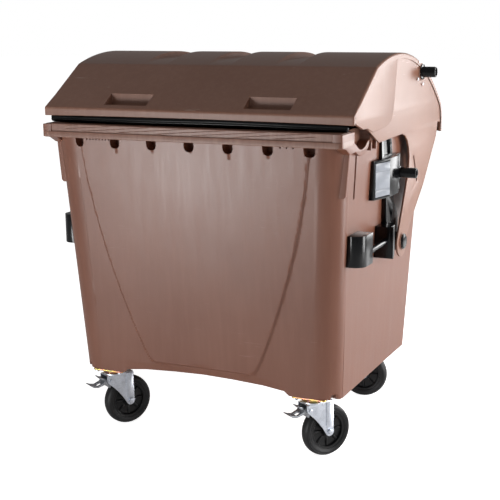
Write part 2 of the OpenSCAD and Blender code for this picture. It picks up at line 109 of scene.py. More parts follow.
class Finish:
    def __init__(self, name, colour, roughness, metallic=0.0):
        self.material = bpy.data.materials.new(name)
        self.material.use_nodes = True
        self.nodes, self.links = self.material.node_tree.nodes, self.material.node_tree.links
        self.shader = self.nodes["Principled BSDF"]
        self.shader.inputs["Base Color"].default_value = (*linear(colour), 1)
        self.shader.inputs["Roughness"].default_value = roughness
        self.shader.inputs["Metallic"].default_value = metallic
        self.material.diffuse_color = (*linear(colour), 1)
        self.where = self.add("ShaderNodeTexCoord", out="Object")

    def add(self, kind, settings=None, sockets=None, out=0):
        node = self.nodes.new(kind)
        for key, value in (settings or {}).items():
            if key == "stops":
                ramp = node.color_ramp.elements
                while len(ramp) < len(value):
                    ramp.new(0.5)
                for element, (place, colour) in zip(ramp, value):
                    element.position, element.color = place, (*linear(colour), 1)
            else:
                setattr(node, key, value)
        for key, value in (sockets or {}).items():
            self.feed(node.inputs[key], value)
        return Wire(self, node.outputs[out])

    def feed(self, socket, value):
        if isinstance(value, Wire):
            self.links.new(value.socket, socket)
        elif isinstance(value, tuple) and len(value) == 3 and socket.type == "RGBA":
            socket.default_value = (*linear(value), 1)
        else:
            socket.default_value = value

    def set(self, **inputs):
        for key, value in inputs.items():
            self.feed(self.shader.inputs[key.replace("_", " ")], value)
        return self

    def stretched(self, x, y, z, shift=0.0):
        """Object coordinates scaled by x, y and z, for streaks and brushed grain."""
        return self.add("ShaderNodeVectorMath", {"operation": "MULTIPLY_ADD"},
                        {0: self.where, 1: (x, y, z), 2: (shift, shift, shift)})

    def noise(self, scale, detail=3.0, roughness=0.55, where=None):
        return self.add("ShaderNodeTexNoise", {}, {"Vector": where or self.where, "Scale": scale,
                                                   "Detail": detail, "Roughness": roughness})

    def mix(self, share, first, second, how="MIX"):
        """Two colours mixed by share."""
        return self.add("ShaderNodeMix", {"data_type": "RGBA", "blend_type": how},
                        {0: share, 6: first, 7: second}, out=2)

    def bump(self, height, strength, distance, onto=None):
        sockets = {"Height": height, "Strength": strength, "Distance": distance}
        if onto is not None:
            sockets["Normal"] = onto
        return self.add("ShaderNodeBump", {}, sockets)

    def along(self, axis):
        return self.add("ShaderNodeSeparateXYZ", {}, {0: self.where}, out=axis)


def linear(colour):
    """A colour on a 0 to 255 scale, as seen on a screen, to the renderer's linear scale."""
    return tuple(((c / 255 + 0.055) / 1.055) ** 2.4 if c > 10 else c / 3294.6 for c in colour)


print("finishes can be built")

# %% [markdown]
# ## Brown moulded polyethylene
# The container is injection-moulded from a brown, slightly greyish polyethylene. Its skin is a fine
# spark-eroded grain with a soft sheen; the flow of the melt leaves pale upright streaks, and use leaves
# fine scratches and a chalky bloom. The bump has three sizes: slow waves from uneven cooling, streaks,
# and the grain. One function makes the tub's and the lid's versions, which differ in streaks and wear.

# %% Brown plastic
def brown_plastic(name, base, bloom, streak, wear, seed):
    finish = Finish(name, base, 0.4)
    cloud = finish.noise(2.3, 3.0, 0.5, finish.stretched(1, 1, 1, seed))
    flow = finish.noise(1.0, 4.0, 0.6, finish.stretched(46, 46, 1.6, seed))
    fine_flow = finish.noise(1.0, 3.0, 0.6, finish.stretched(260, 260, 7, seed))
    grain = finish.noise(1500, 2.0, 0.6)
    speck = finish.noise(310, 2.0, 0.5, finish.stretched(1, 1, 1, seed + 3))
    tint = cloud.between(0.3, 0.75) * 0.3 + flow.between(0.4, 0.72) * streak
    tint = tint + fine_flow.between(0.5, 0.75) * streak * 0.5
    scratch_lines = finish.noise(1.0, 2.0, 0.5, finish.stretched(9, 9, 330, seed))
    scratch_place = finish.noise(7.0, 3.0, 0.6, finish.stretched(1, 1, 1, seed + 9))
    scratches = scratch_lines.between(0.68, 0.72) * scratch_place.between(0.56, 0.62) * wear
    tone = finish.mix(tint, base, bloom)
    tone = finish.mix(speck.between(0.62, 0.8) * 0.18, tone, tuple(c * 0.72 for c in base))
    tone = finish.mix(scratches, tone, (205, 180, 170))
    soft = finish.bump(cloud, 0.18, 0.02)
    streaks = finish.bump(flow * 0.6 + fine_flow * 0.25, 0.10 + 0.5 * streak, 0.0012, soft)
    skin = finish.bump(grain, 0.10, 0.0006, streaks)
    finish.set(Base_Color=tone, Roughness=0.27 + flow * 0.14 + cloud * 0.08 + scratches * 0.2, Normal=skin)
    finish.shader.inputs["Specular IOR Level"].default_value = 0.55
    return finish


tub_brown = brown_plastic("tub_brown_plastic", (112, 68, 50), (134, 90, 72), 0.16, 0.10, 0.0)
lid_brown = brown_plastic("lid_brown_plastic", (124, 84, 66), (148, 110, 94), 0.22, 0.5, 4.0)
rim_brown = brown_plastic("rim_brown_plastic", (118, 80, 64), (144, 108, 94), 0.5, 0.15, 2.0)
print("brown plastics:", tub_brown.material.name, lid_brown.material.name, rim_brown.material.name)

# %% [markdown]
# ## Black plastic, rubber and the light panel
# The brackets, handles and pins are black polyamide: nearly black, glossy, and a little uneven. The
# seal is a soft black rubber that shines along its folds. Tyres are a matt grey-black rubber with dust
# in their tread. The light panel on each bracket is a plain pale grey moulding.

# %% Black plastics, rubbers and the pale panel
def dark(name, base, dust, roughness, grain_size, grain, dusting, shine=0.5):
    finish = Finish(name, base, roughness)
    cloud = finish.noise(14, 3.0)
    grit = finish.noise(grain_size, 2.0)
    finish.set(Base_Color=finish.mix(cloud.between(0.45, 0.8) * dusting, base, dust),
               Roughness=roughness + cloud * 0.14 - 0.05,
               Normal=finish.bump(grit, grain, 0.0006, finish.bump(cloud, 0.1, 0.004)),
               Specular_IOR_Level=shine)
    return finish


black_plastic = dark("black_plastic", (8, 8, 10), (34, 34, 38), 0.17, 900, 0.08, 0.15, 0.3)
seal_rubber = dark("seal_rubber", (4, 4, 5), (14, 14, 16), 0.2, 500, 0.05, 0.1, 0.22)
tyre_rubber = dark("tyre_rubber", (19, 19, 21), (60, 58, 57), 0.45, 700, 0.3, 0.2, 0.3)
hub_plastic = dark("hub_plastic", (10, 10, 12), (38, 38, 38), 0.3, 800, 0.12, 0.2, 0.3)
bush_plastic = dark("bush_plastic", (214, 212, 204), (170, 165, 155), 0.4, 800, 0.08, 0.3)
pale_panel = dark("pale_panel_plastic", (126, 130, 138), (104, 108, 115), 0.36, 1200, 0.08, 0.45)
print("six plain plastics and rubbers")

# %% [markdown]
# ## Plated steel
# The forks are bright zinc over pressed sheet: cool grey with faint crystals and rubbed patches. The
# castor plates are yellow-passivated zinc, whose film is thin enough to show gold, green and pink like
# oil on water; a noise through a colour ramp gives that drift of hues.

# %% Zinc and yellow-passivated zinc
def zinc_steel(name, base, dull):
    finish = Finish(name, base, 0.34, 1.0)
    crystals = finish.add("ShaderNodeTexVoronoi", {"feature": "F1"},
                          {"Vector": finish.where, "Scale": 260.0}, out="Color")
    spangle = finish.add("ShaderNodeSeparateColor", {}, {0: crystals})
    rubbed = finish.noise(34, 4.0)
    tone = finish.mix(spangle * 0.25 + rubbed.between(0.35, 0.8) * 0.5, base, dull)
    finish.set(Base_Color=tone, Roughness=0.24 + rubbed * 0.24 + spangle * 0.06,
               Normal=finish.bump(rubbed, 0.25, 0.0012))
    return finish


def yellow_zinc_steel():
    finish = Finish("yellow_zinc_steel", (214, 190, 120), 0.3, 1.0)
    drift = finish.noise(26, 3.0, 0.6)
    hues = [(0.28, (160, 190, 130)), (0.42, (222, 200, 118)), (0.52, (232, 176, 108)),
            (0.62, (206, 140, 150)), (0.74, (196, 206, 150))]
    hue = finish.add("ShaderNodeValToRGB", {"stops": hues}, {0: drift})
    rubbed = finish.noise(60, 3.0)
    finish.set(Base_Color=finish.mix(rubbed.between(0.5, 0.8) * 0.4, hue, (150, 145, 130)),
               Roughness=0.2 + rubbed * 0.3, Normal=finish.bump(rubbed, 0.2, 0.001))
    return finish


bright_zinc = zinc_steel("bright_zinc_steel", (218, 223, 232), (158, 163, 172))
dark_zinc = zinc_steel("worn_zinc_steel", (172, 175, 181), (112, 114, 118))
yellow_zinc = yellow_zinc_steel()
print("plated steels:", bright_zinc.material.name, yellow_zinc.material.name)

# %% [markdown]
# ## From arrays to pieces
# Most meshes here are grids of points worked out with numpy. `add_piece` turns points and faces into an
# object, sets smooth shading with sharp edges above an angle, gives it its finish, and ties it to the
# frame: the body it moves with, and the CAD nodes that it replaces, which are hidden. Points are in the
# tub's own coordinates, whose middle lies at tub_y in the frame.

# %% Helper that makes a piece
def add_piece(name, body, finish, points, faces, stands_for=(), crease=32):
    mesh = bpy.data.meshes.new(name)
    mesh.from_pydata(np.asarray(points, float).tolist(), [], [list(map(int, face)) for face in faces])
    mesh.transform(Matrix.Translation((0, tub_y, 0)))
    mesh.validate()
    mesh.shade_smooth()
    mesh.set_sharp_from_angle(angle=math.radians(crease))
    mesh.materials.append(finish.material)
    piece = bpy.data.objects.new(name, mesh)
    bpy.context.scene.collection.objects.link(piece)
    return tie(piece, body, stands_for)


def tie(piece, body, stands_for=()):
    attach(piece, body)
    if stands_for:
        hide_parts(*stands_for)
    return piece


def grid_faces(rows, columns, around=False):
    """Quads between rows of points; around joins the last column to the first."""
    last = columns if around else columns - 1
    row, column = np.meshgrid(np.arange(rows - 1), np.arange(last), indexing="ij")
    after = (column + 1) % columns
    return np.stack([row * columns + column, row * columns + after,
                     (row + 1) * columns + after, (row + 1) * columns + column], -1).reshape(-1, 4)


def smooth_step(value, width=1.0):
    share = np.clip(value / width, 0, 1)
    return share * share * (3 - 2 * share)


print("pieces can be added")

# %% [markdown]
# ## The tub's plan
# Every level of the tub is a rectangle with round corners, described by the same columns of points: a
# share of the straight length, and a direction out of the wall. Columns lie closer together where the
# relief has edges, such as the comb pockets, so the mesh is fine only where it has to be.

# %% Columns round the tub
pocket_pitch, pocket_half = 0.156, 0.020
pockets = pocket_pitch * np.arange(-3, 4)
ticks = np.concatenate([pockets[0] + 0.036 + 0.0135 * np.arange(8),
                        pockets[5] + 0.048 + 0.0245 * np.arange(3)])
straight_half, side_half = 0.489, 0.424     # flat part of the front and of a side, from the middle
notch_turns = [42.4, 42.9, 58.7, 59.2]      # degrees; they keep the notch in the corner's foot sharp


def graded(low, high, step, edges, fine):
    """Places from low to high every step, with extra ones close to each edge."""
    places = np.concatenate([np.arange(low, high + step / 2, step), *(edges[:, None] + np.array(fine)).T])
    places = np.unique(np.round(places[(places >= low) & (places <= high)], 5))
    return places[np.insert(np.diff(places) > 0.0004, 0, True)]


pocket_edges = np.concatenate([pockets - pocket_half, pockets + pocket_half])
front_edges = np.concatenate([pocket_edges, ticks, [-0.465, 0.465]])
front_x = graded(-straight_half, straight_half, 0.005, front_edges,
                 [-0.003, -0.0015, -0.0006, 0.0006, 0.0015, 0.003])
side_y = graded(-side_half, side_half, 0.008, np.array([-0.406, -0.390, -0.366, -0.350]),
                [-0.002, -0.0007, 0.0007, 0.002])
corner = np.radians(np.sort(np.concatenate([np.linspace(0, 90, 22)[1:-1], notch_turns])))


def columns_round():
    """(share of the straight length in x and in y, direction of the wall's outside) for each column."""
    def turn(from_angle, sign_x, sign_y):
        return [(sign_x, sign_y, math.cos(from_angle + a), math.sin(from_angle + a))
                for a in corner]
    columns = [(x / straight_half, -1, 0, -1) for x in front_x]
    columns += turn(-math.pi / 2, 1, -1)
    columns += [(1, y / side_half, 1, 0) for y in side_y]
    columns += turn(0, 1, 1)
    columns += [(x / straight_half, 1, 0, 1) for x in front_x[::-1]]
    columns += turn(math.pi / 2, -1, 1)
    columns += [(-1, y / side_half, -1, 0) for y in side_y[::-1]]
    columns += turn(math.pi, -1, -1)
    return np.array(columns)


plan = columns_round()
print(len(plan), "columns round the tub")

# %% [markdown]
# ## The tub's levels
# A loft needs a list of levels from the middle of the underside, up the outside, over the rim, and down
# the inside to the middle of the floor. Each level is half length, half depth, corner radius and
# height. The rim has a lower band, an upper step and a rounded top, with a shadow line between.

# %% Levels of the tub
bottom, rim_under, rim_top = tub_low.z, 1.188, tub_high.z
low_half, top_half = (0.545, 0.425), (0.590, 0.496)


def wall_level(z, inset=0.0):
    share = (z - bottom) / (rim_under - bottom)
    half_x, half_y = (low + (top - low) * share for low, top in zip(low_half, top_half))
    return half_x - inset, half_y - inset, 0.072 - inset, z


outside_z = np.concatenate([np.linspace(bottom, 0.30, 9), np.arange(0.308, 1.124, 0.008),
                            np.arange(1.126, 1.1875, 0.0015)])
outside = [wall_level(z) for z in outside_z]
edge = wall_level(bottom)
under = [(edge[0] * s, edge[1] * s, edge[2] * s, bottom) for s in (0.02, 0.25, 0.5, 0.62, 0.75, 0.88, 0.96)]
under += [(edge[0] - d, edge[1] - d, edge[2], bottom + h) for d, h in ((0.004, 0), (0.0012, 0.0012))]
steps = np.linspace(1.2145, 1.2352, 28)
rim = [(0.5895, 0.4955, 0.070, 1.1878), (0.596, 0.520, 0.040, 1.1872), (0.6022, 0.5412, 0.014, 1.1872),
       (0.604, 0.543, 0.014, 1.1895), (0.604, 0.543, 0.014, 1.2070), (0.6035, 0.5425, 0.0135, 1.2086),
       (0.6005, 0.5395, 0.013, 1.2092), (0.5985, 0.5375, 0.012, 1.2096), (0.5972, 0.5362, 0.012, 1.2105),
       (0.5972, 0.5362, 0.012, 1.2120), (0.5980, 0.5370, 0.012, 1.2130)]
rim += [(0.598, 0.537, 0.012, z) for z in steps]
rim += [(0.5975, 0.5365, 0.012, 1.2368), (0.5955, 0.5345, 0.012, rim_top), (0.588, 0.505, 0.040, rim_top),
        (0.5835, 0.490, 0.060, 1.2374), (0.5825, 0.4885, 0.066, 1.2355)]
inside = [wall_level(z, 0.016) for z in (1.190, 1.14, 1.128, 1.10, 0.90, 0.70, 0.50, 0.36, 0.30)]
floor_shares = (0.985, 0.95, 0.88, 0.75, 0.62, 0.5, 0.25, 0.02)
floor = [(edge[0] * s, edge[1] * s, edge[2] * s, bottom + 0.008) for s in floor_shares]
levels = np.array(under + outside + rim + inside + floor)
print(len(levels), "levels,", len(levels) * len(plan), "points in the tub")

# %% [markdown]
# ## Relief of the tub's front
# The front is not flat. A wide centre panel stands 9 mm proud, its edges curving in towards the arch
# below. Seven comb pockets hang under the rim, each with a small drain tail; short ticks sit between
# some of them. Depths are worked out as soft-edged fields over the wall and taken off along the wall's
# normal, so that the relief follows the taper.

# %% Fields of the front relief
def arch(x):
    """Height of the tub's underside along its length."""
    return np.interp(np.abs(x), [0, 0.12, 0.25, 0.337, 0.356, 0.7],
                     [0.283, 0.280, 0.273, 0.262, bottom, bottom])


def softer_minimum(a, b, sharpness=70.0):
    return -np.logaddexp(-a * sharpness, -b * sharpness) / sharpness


def panel_edge(z):
    down = np.clip(1.14 - z, 0, None)
    return 0.466 - 0.1205 * down - 0.202 * down ** 2


def pocket_field(x, z):
    """Distance inside the nearest comb pocket, and inside its drain tail."""
    off = np.abs(x[..., None] - pockets).min(-1)
    lower = 1.169
    round_end = pocket_half - np.hypot(off, np.clip(lower - z, 0, None))
    inside_pocket = np.where(z > lower, pocket_half - off, round_end)
    tail_half = np.interp(z, [1.128, 1.152], [0.0008, 0.0032])
    shifted = np.abs(x[..., None] - pockets - 0.004).min(-1)
    inside_tail = np.where((z > 1.128) & (z < 1.153), tail_half - shifted, -0.01)
    return inside_pocket, inside_tail


def front_depth(x, z):
    panel = softer_minimum(panel_edge(z) - np.abs(x), z - arch(x) - 0.028)
    depth = -0.009 * smooth_step(panel, 0.007)
    pocket, tail = pocket_field(x, z)
    depth = depth + (0.036 - depth) * smooth_step(pocket, 0.0016) + 0.0025 * smooth_step(tail, 0.0012)
    tick = np.abs(x[..., None] - ticks).min(-1)
    depth = depth + 0.007 * smooth_step(0.0030 - tick, 0.0012) * smooth_step(z - 1.177, 0.002)
    return depth + 0.0012 * np.sin(5.1 * x + 2.0 * z) * np.sin(4.3 * z + 0.7) * smooth_step(1.10 - z, 0.12)


def side_depth(y, z):
    groove = np.minimum(0.0075 - np.abs(y + 0.358), np.minimum(z - 0.994, 1.170 - z))
    waves = 0.0010 * np.sin(7.0 * y + 1.0) * np.sin(4.0 * z) * smooth_step(1.10 - z, 0.12)
    return 0.012 * smooth_step(groove, 0.002) + waves


print("panel edge at mid height", round(float(panel_edge(np.array(0.75))), 4))

# %% [markdown]
# ## Lofting the tub
# All levels and columns meet in one array of points. The relief is only taken off on the outer wall,
# and the lowest levels are lifted to follow the arch. The upper step of the rim carries long slanted
# grooves, which are cut the same way.

# %% The tub as one mesh
def loft_tub():
    half_x, half_y, radius, z = (levels[:, i][:, None] for i in range(4))
    share_x, share_y, out_x, out_y = (plan[:, i][None, :] for i in range(4))
    radius_x = radius * np.interp(radius, [0.02, 0.07], [1, 1.40])
    radius_y = radius * np.interp(radius, [0.02, 0.07], [1, 0.85])
    straight_x = share_x * (half_x - radius_x)
    straight_y = share_y * side_half + share_y * np.abs(share_y) ** 8 * (half_y - radius_y - side_half)
    z = z + np.zeros_like(straight_x)
    walls = np.zeros(len(levels), bool)
    walls[len(under):len(under) + len(outside)] = True
    walls = walls[:, None] & np.ones_like(z, bool)
    on_front = np.broadcast_to((np.abs(out_x) < 1e-9) & (np.abs(share_x) < 1), z.shape)
    on_side = np.broadcast_to((np.abs(out_y) < 1e-9) & (np.abs(share_y) < 1), z.shape)
    front_only = on_front & np.broadcast_to(share_y < 0, z.shape)
    depth = np.where(walls & front_only, front_depth(straight_x, z), 0.0)
    depth = np.where(walls & on_front & ~front_only, 0.006 * smooth_step(
        softer_minimum(panel_edge(z) - np.abs(straight_x), z - arch(straight_x) - 0.03), 0.012), depth)
    depth = np.where(walls & on_side, side_depth(straight_y, z), depth)
    level = np.arange(len(levels))[:, None]
    first_rim = len(under) + len(outside)
    first_inside = first_rim + len(rim)
    on_step = (z > steps[0] - 1e-6) & (z < steps[-1] + 1e-6) & (level > first_rim)
    behind_pockets = (level >= first_inside) & (level < first_inside + 2) & front_only
    depth = np.where(behind_pockets, 0.028 * smooth_step(0.51 - np.abs(straight_x), 0.02), depth)
    cup = smooth_step(0.0795 - np.abs(straight_y + 0.3365), 0.004) * smooth_step(
        z - 1.150 - 0.022 * ((straight_y + 0.3365) / 0.0795) ** 2, 0.003)
    shell = (level >= len(under)) & (level < first_inside + 3)
    wanted = np.where(level < first_inside, 0.567, 0.561)
    depth = depth + np.where(shell & on_side, np.clip(half_x - depth - wanted, 0, None) * cup, 0.0)
    climb = (z - 1.2125) / 0.024 * 2.0
    line = np.abs(np.mod(straight_x / pocket_pitch - climb + 0.35, 1.0) - 0.5) * 0.0121 * 2
    slant = smooth_step(0.0019 - line, 0.0012) * smooth_step(0.505 - np.abs(straight_x), 0.004)
    depth = np.where(on_step & on_front, 0.0016 * slant, depth)
    x = straight_x + out_x * (radius_x - depth)
    y = straight_y + out_y * (radius_y - depth)
    lift = arch(x) - bottom
    low_part = np.clip(1 - (z - bottom) / 0.054, 0, 1)
    z = z + lift * np.where(z < 0.302, low_part, 0)
    slit = (np.abs(y + 0.398) < 0.0085) & (np.abs(x) > 0.50) & (level > 4)
    z = np.where(slit, np.maximum(z, bottom + 0.022), z)
    return np.stack([x, y, z], -1)


tub_points = loft_tub()
rows, columns = tub_points.shape[:2]
faces = grid_faces(rows, columns, around=True).tolist()
faces += [list(range(columns - 1, -1, -1)), list(range((rows - 1) * columns, rows * columns))]
tub = add_piece("tub_moulding", "container", tub_brown, tub_points.reshape(-1, 3), faces,
                ["tub"], 28)
tub.data.materials.append(rim_brown.material)
rim_first = (len(under) + len(outside)) * columns
rim_last = (len(under) + len(outside) + len(rim) - 2) * columns
for face in tub.data.polygons:
    if rim_first <= face.vertices[0] < rim_last and len(face.vertices) == 4:
        face.material_index = 1
print("tub:", len(tub.data.polygons), "faces")

# %% [markdown]
# ## Plates with soft edges
# Gussets, side panels, cups and straps are flat shapes with some thickness and a rounded edge. A closed
# two-dimensional curve with extrusion and a small bevel gives just that, holes included, so `plate`
# draws the outline, lets the curve make the solid, and turns it where it belongs.

# %% Helper that makes plates
SIDE = Matrix(((0, 0, 1), (1, 0, 0), (0, 1, 0)))       # outline in y, z; thickness along x
FRONT = Matrix(((1, 0, 0), (0, 0, -1), (0, 1, 0)))     # outline in x, z; thickness towards the front


def plate_mesh(outlines, low, high, edge, turn):
    curve = bpy.data.curves.new("outline", "CURVE")
    curve.dimensions, curve.fill_mode = "2D", "BOTH"
    curve.extrude, curve.bevel_depth, curve.bevel_resolution = (high - low) / 2 - edge, edge, 3
    curve.offset = -edge
    for outline in outlines:
        spline = curve.splines.new("POLY")
        spline.points.add(len(outline) - 1)
        spline.points.foreach_set("co", [c for u, v in outline for c in (u, v, 0, 1)])
        spline.use_cyclic_u = True
    holder = bpy.data.objects.new("outline", curve)
    bpy.context.scene.collection.objects.link(holder)
    mesh = bpy.data.meshes.new_from_object(holder.evaluated_get(bpy.context.evaluated_depsgraph_get()))
    mesh.transform(turn.to_4x4() @ Matrix.Translation((0, 0, (low + high) / 2)))
    bpy.data.objects.remove(holder)
    return mesh


def plate(name, body, finish, outlines, low, high, edge=0.0015, turn=SIDE, stands_for=(),
          mirrored=False):
    mesh = plate_mesh(outlines, low, high, edge, turn)
    if mirrored:
        mesh.transform(Matrix.Scale(-1, 4, (1, 0, 0)))
        mesh.flip_normals()
    mesh.transform(Matrix.Translation((0, tub_y, 0)))
    mesh.materials.clear()
    mesh.materials.append(finish.material)
    piece = bpy.data.objects.new(name, mesh)
    bpy.context.scene.collection.objects.link(piece)
    weld = piece.modifiers.new("weld", "WELD")
    weld.merge_threshold = 0.00002
    mesh.shade_smooth()
    mesh.set_sharp_from_angle(angle=math.radians(30))
    return tie(piece, body, stands_for)


def both_plates(name, body, finish, outlines, low, high, edge=0.0015, stands_for=()):
    return [plate(f"{name}_{side}", body, finish, outlines, low, high, edge, SIDE,
                  [f"{node}_{side}" for node in stands_for], side == "left") for side in ("right", "left")]


def arc(centre, radius, start, stop, count):
    turns = np.radians(np.linspace(start, stop, count))
    return list(zip(centre[0] + radius * np.cos(turns), centre[1] + radius * np.sin(turns)))


print("plates can be drawn")

# %% [markdown]
# ## Side cups, fins and gussets of the tub
# Under the lid's edge each side has a curved band, like a cup cut in half, with upright fins behind it;
# each front corner has a tall tapering fin down from the rim. They are separate thin plates against the
# wall, all of the tub's plastic.

# %% Cups and fins
band = [(-0.540, 1.236), (-0.540, 1.189), (-0.500, 1.181), (-0.462, 1.160)]
band += arc((-0.340, 1.255), 0.112, 236, 308, 24) + [(-0.258, 1.190), (-0.266, 1.192)]
band += arc((-0.340, 1.252), 0.086, 312, 232, 24) + [(-0.417, 1.196), (-0.420, 1.236)]
both_plates("side_cup", "container", tub_brown, [band], 0.566, 0.6035, 0.003)
for count, y in enumerate((-0.238, -0.182)):
    fin = [(y - 0.004, 1.188), (y - 0.004, 1.150), (y + 0.004, 1.150), (y + 0.004, 1.188)]
    both_plates(f"side_fin_{count}", "container", tub_brown, [fin], 0.585, 0.6025,
                0.0012)
gusset = [(0.500, 1.189), (0.601, 1.189), (0.599, 1.16), (0.586, 1.012), (0.578, 1.004), (0.500, 1.004)]
for side, sign in (("right", 1), ("left", -1)):
    outline = [(sign * x, z) for x, z in gusset][::sign]
    plate(f"corner_fin_{side}", "container", tub_brown, [outline], 0.442, 0.458, 0.004,
          FRONT)
print("cups and fins made")

# %% [markdown]
# ## The lid's dome
# The lid rolls back over the tub. Its dome is a grid: across, from one side panel to the other with the
# outer edge rolled over; along, from the front lip up the slope, over the arc, and down the rear skirt.
# Three wide channels are pressed into the top, and two grips are cut into the slope. All of it is taken
# off as depth along the grid's normal, or as a level floor for the grips.

# %% Profile of the dome
lid_half = lid_high.x
dome_centre, dome_radius = (0.010, 0.625), 0.862
lip_y, lip_top, skirt_end = -0.490, 1.294, 1.136
front_turn, back_turn = 107.5, 47.0


def resample(points, step):
    points = np.array(points)
    along = np.insert(np.cumsum(np.hypot(*np.diff(points, axis=0).T)), 0, 0)
    places = np.unique(np.concatenate([np.arange(0, along[-1], step), [along[-1]], along[[0, -1]]]))
    return np.stack([np.interp(places, along, points[:, i]) for i in range(2)], -1)


slope_top = arc(dome_centre, dome_radius, front_turn, front_turn, 1)[0]
slope_y = np.unique(np.concatenate([np.linspace(lip_y + 0.004, slope_top[0], 44),
                                    [-0.4716, -0.4706, -0.4696, -0.4118, -0.4108, -0.4098]]))
slope_rise = (slope_top[1] - lip_top) / (slope_top[0] - lip_y)
front_part = [(lip_y + 0.0012, 1.2625), (lip_y, 1.2640), (lip_y, 1.2705), (lip_y, 1.278), (lip_y, 1.286),
              (lip_y, 1.2905), (lip_y + 0.0010, 1.2935), (lip_y + 0.0025, 1.2955)]
slope_part = [(y, lip_top + (y - lip_y) * slope_rise) for y in slope_y[1:-1]]
arc_part = arc(dome_centre, dome_radius, front_turn, back_turn, 150)
rear_part = resample([arc_part[-1], (0.6035, 1.242), (0.610, 1.226), (0.6145, 1.208), (0.616, 1.196),
                      (0.616, skirt_end)], 0.006)[1:]
profile = np.array(front_part + slope_part + arc_part + rear_part.tolist())
tangent = np.gradient(profile, axis=0)
tangent /= np.hypot(*tangent.T)[:, None]
outward = np.stack([-tangent[:, 1], tangent[:, 0]], -1)
print(len(profile), "points along the lid's profile")

# %% [markdown]
# ### Channels and grips
# A channel starts on the slope, is deepest behind the crown and runs out at the rear. Both its walls
# slope alike. A grip is a notch with a level floor and an upright back wall
# that a hand pushes against.

# %% Relief of the dome
channel_middles, channel_half = (-0.273, 0.0, 0.273), 0.052


def channel_depth(x, y):
    off = np.abs(x[..., None] - np.array(channel_middles)).min(-1)
    across = smooth_step(channel_half - off, 0.014)
    return 0.020 * across * smooth_step(y + 0.255, 0.24) * smooth_step(0.42 - y, 0.16)


def grip_floor(x, y, z, drop):
    """Height of the skin in a grip: level between the slope's front edge and the upright back wall."""
    off = np.abs(np.abs(x - 0.0055) - 0.288)
    share = smooth_step(0.0905 + drop - off, 0.0016) * smooth_step(y + 0.4711 + drop, 0.001)
    share = share * smooth_step(drop - 0.4103 - y, 0.001)
    level = lip_top + 0.0195 * slope_rise - drop
    return z + (np.minimum(z, level) - z) * share


def lip_lower(x):
    """The lip's lower edge hangs a little lower towards the ends."""
    return 1.2625 + 0.0045 * (1 - (x / lid_half) ** 2)


edge_round = 0.009
grip_edges = np.array([0.0055 + s * 0.288 + t * 0.0905 for s in (-1, 1) for t in (-1, 1)])
dome_x = graded(edge_round - lid_half, lid_half - edge_round, 0.006, grip_edges,
                [-0.002, -0.001, -0.0003, 0.0008, 0.002])
roll_over = np.radians(np.linspace(0, 90, 8))[1:]


def dome_sheet(drop):
    """The dome's outer skin pushed inwards by drop. Its side edge is sharp at the lip and rounder behind."""
    turn = np.interp(profile[:, 0], [lip_y + 0.004, lip_y + 0.07], [0.003, edge_round])[:, None]
    near_edge = smooth_step(np.abs(dome_x) - 0.5, lid_half - edge_round - 0.5)
    spread = dome_x + np.sign(dome_x) * (edge_round - turn) * near_edge
    rolled = lid_half - turn * (1 - np.sin(roll_over))
    end = np.full((len(profile), 2), lid_half)
    x = np.concatenate([-end, -rolled[:, ::-1], spread, rolled, end], 1)
    sunk = turn * (1 - np.cos(roll_over))
    low = np.concatenate([turn + (0.012, 0.004), sunk[:, ::-1], 0 * spread, sunk, turn + (0.004, 0.012)], 1)
    y, z = (profile[:, i][:, None] + 0 * x for i in range(2))
    depth = channel_depth(x, y) + low + drop
    y, z = y - outward[:, 0][:, None] * depth, z - outward[:, 1][:, None] * depth
    z = grip_floor(x, y, z, drop)
    front = profile[:, 1][:, None] < lip_top - 0.002
    lift = (lip_lower(x) - 1.2625) * np.clip((1.2905 - profile[:, 1][:, None]) / 0.028, 0, 1)
    z = np.where(front & (profile[:, 0][:, None] < lip_y + 0.002), z + lift, z)
    scallop_half, scallop_pitch = 0.028, 0.170
    off = np.abs(x - np.round(x / scallop_pitch).clip(-3, 3) * scallop_pitch)
    tail = (profile[:, 0][:, None] > 0.60) & (profile[:, 1][:, None] < 1.20)
    scallop = np.sqrt(scallop_half ** 2 - np.minimum(off, scallop_half) ** 2)
    z = np.where(tail, z + scallop * np.clip((1.196 - z) / 0.060, 0, 1), z)
    return np.stack([x * (1 - 0.006 * (drop > 0)), y, z], -1)


outer, inner = dome_sheet(0.0), dome_sheet(0.005)
rows, columns = outer.shape[:2]
outer_faces = grid_faces(rows, columns)
inner_faces = grid_faces(rows, columns)[:, ::-1] + rows * columns
front_edge = [[c + 1, c, rows * columns + c, rows * columns + c + 1] for c in range(columns - 1)]
last = (rows - 1) * columns
rear_edge = [[last + c, last + c + 1, rows * columns + last + c + 1, rows * columns + last + c]
             for c in range(columns - 1)]
dome_points = np.concatenate([outer.reshape(-1, 3), inner.reshape(-1, 3)])
dome_faces = outer_faces.tolist() + inner_faces.tolist() + front_edge + rear_edge
dome = add_piece("lid_dome", "lid", lid_brown, dome_points, dome_faces, ["lid"], 26)
print("dome:", len(dome.data.polygons), "faces")

# %% [markdown]
# ## The lid's side panels
# Each side of the lid is a flat panel that runs down into the arm with the pivot at its end. The front
# upper part stands 4 mm proud of the rest behind a curved step. Two plates on top of each other show
# that step better than one plate with a groove.

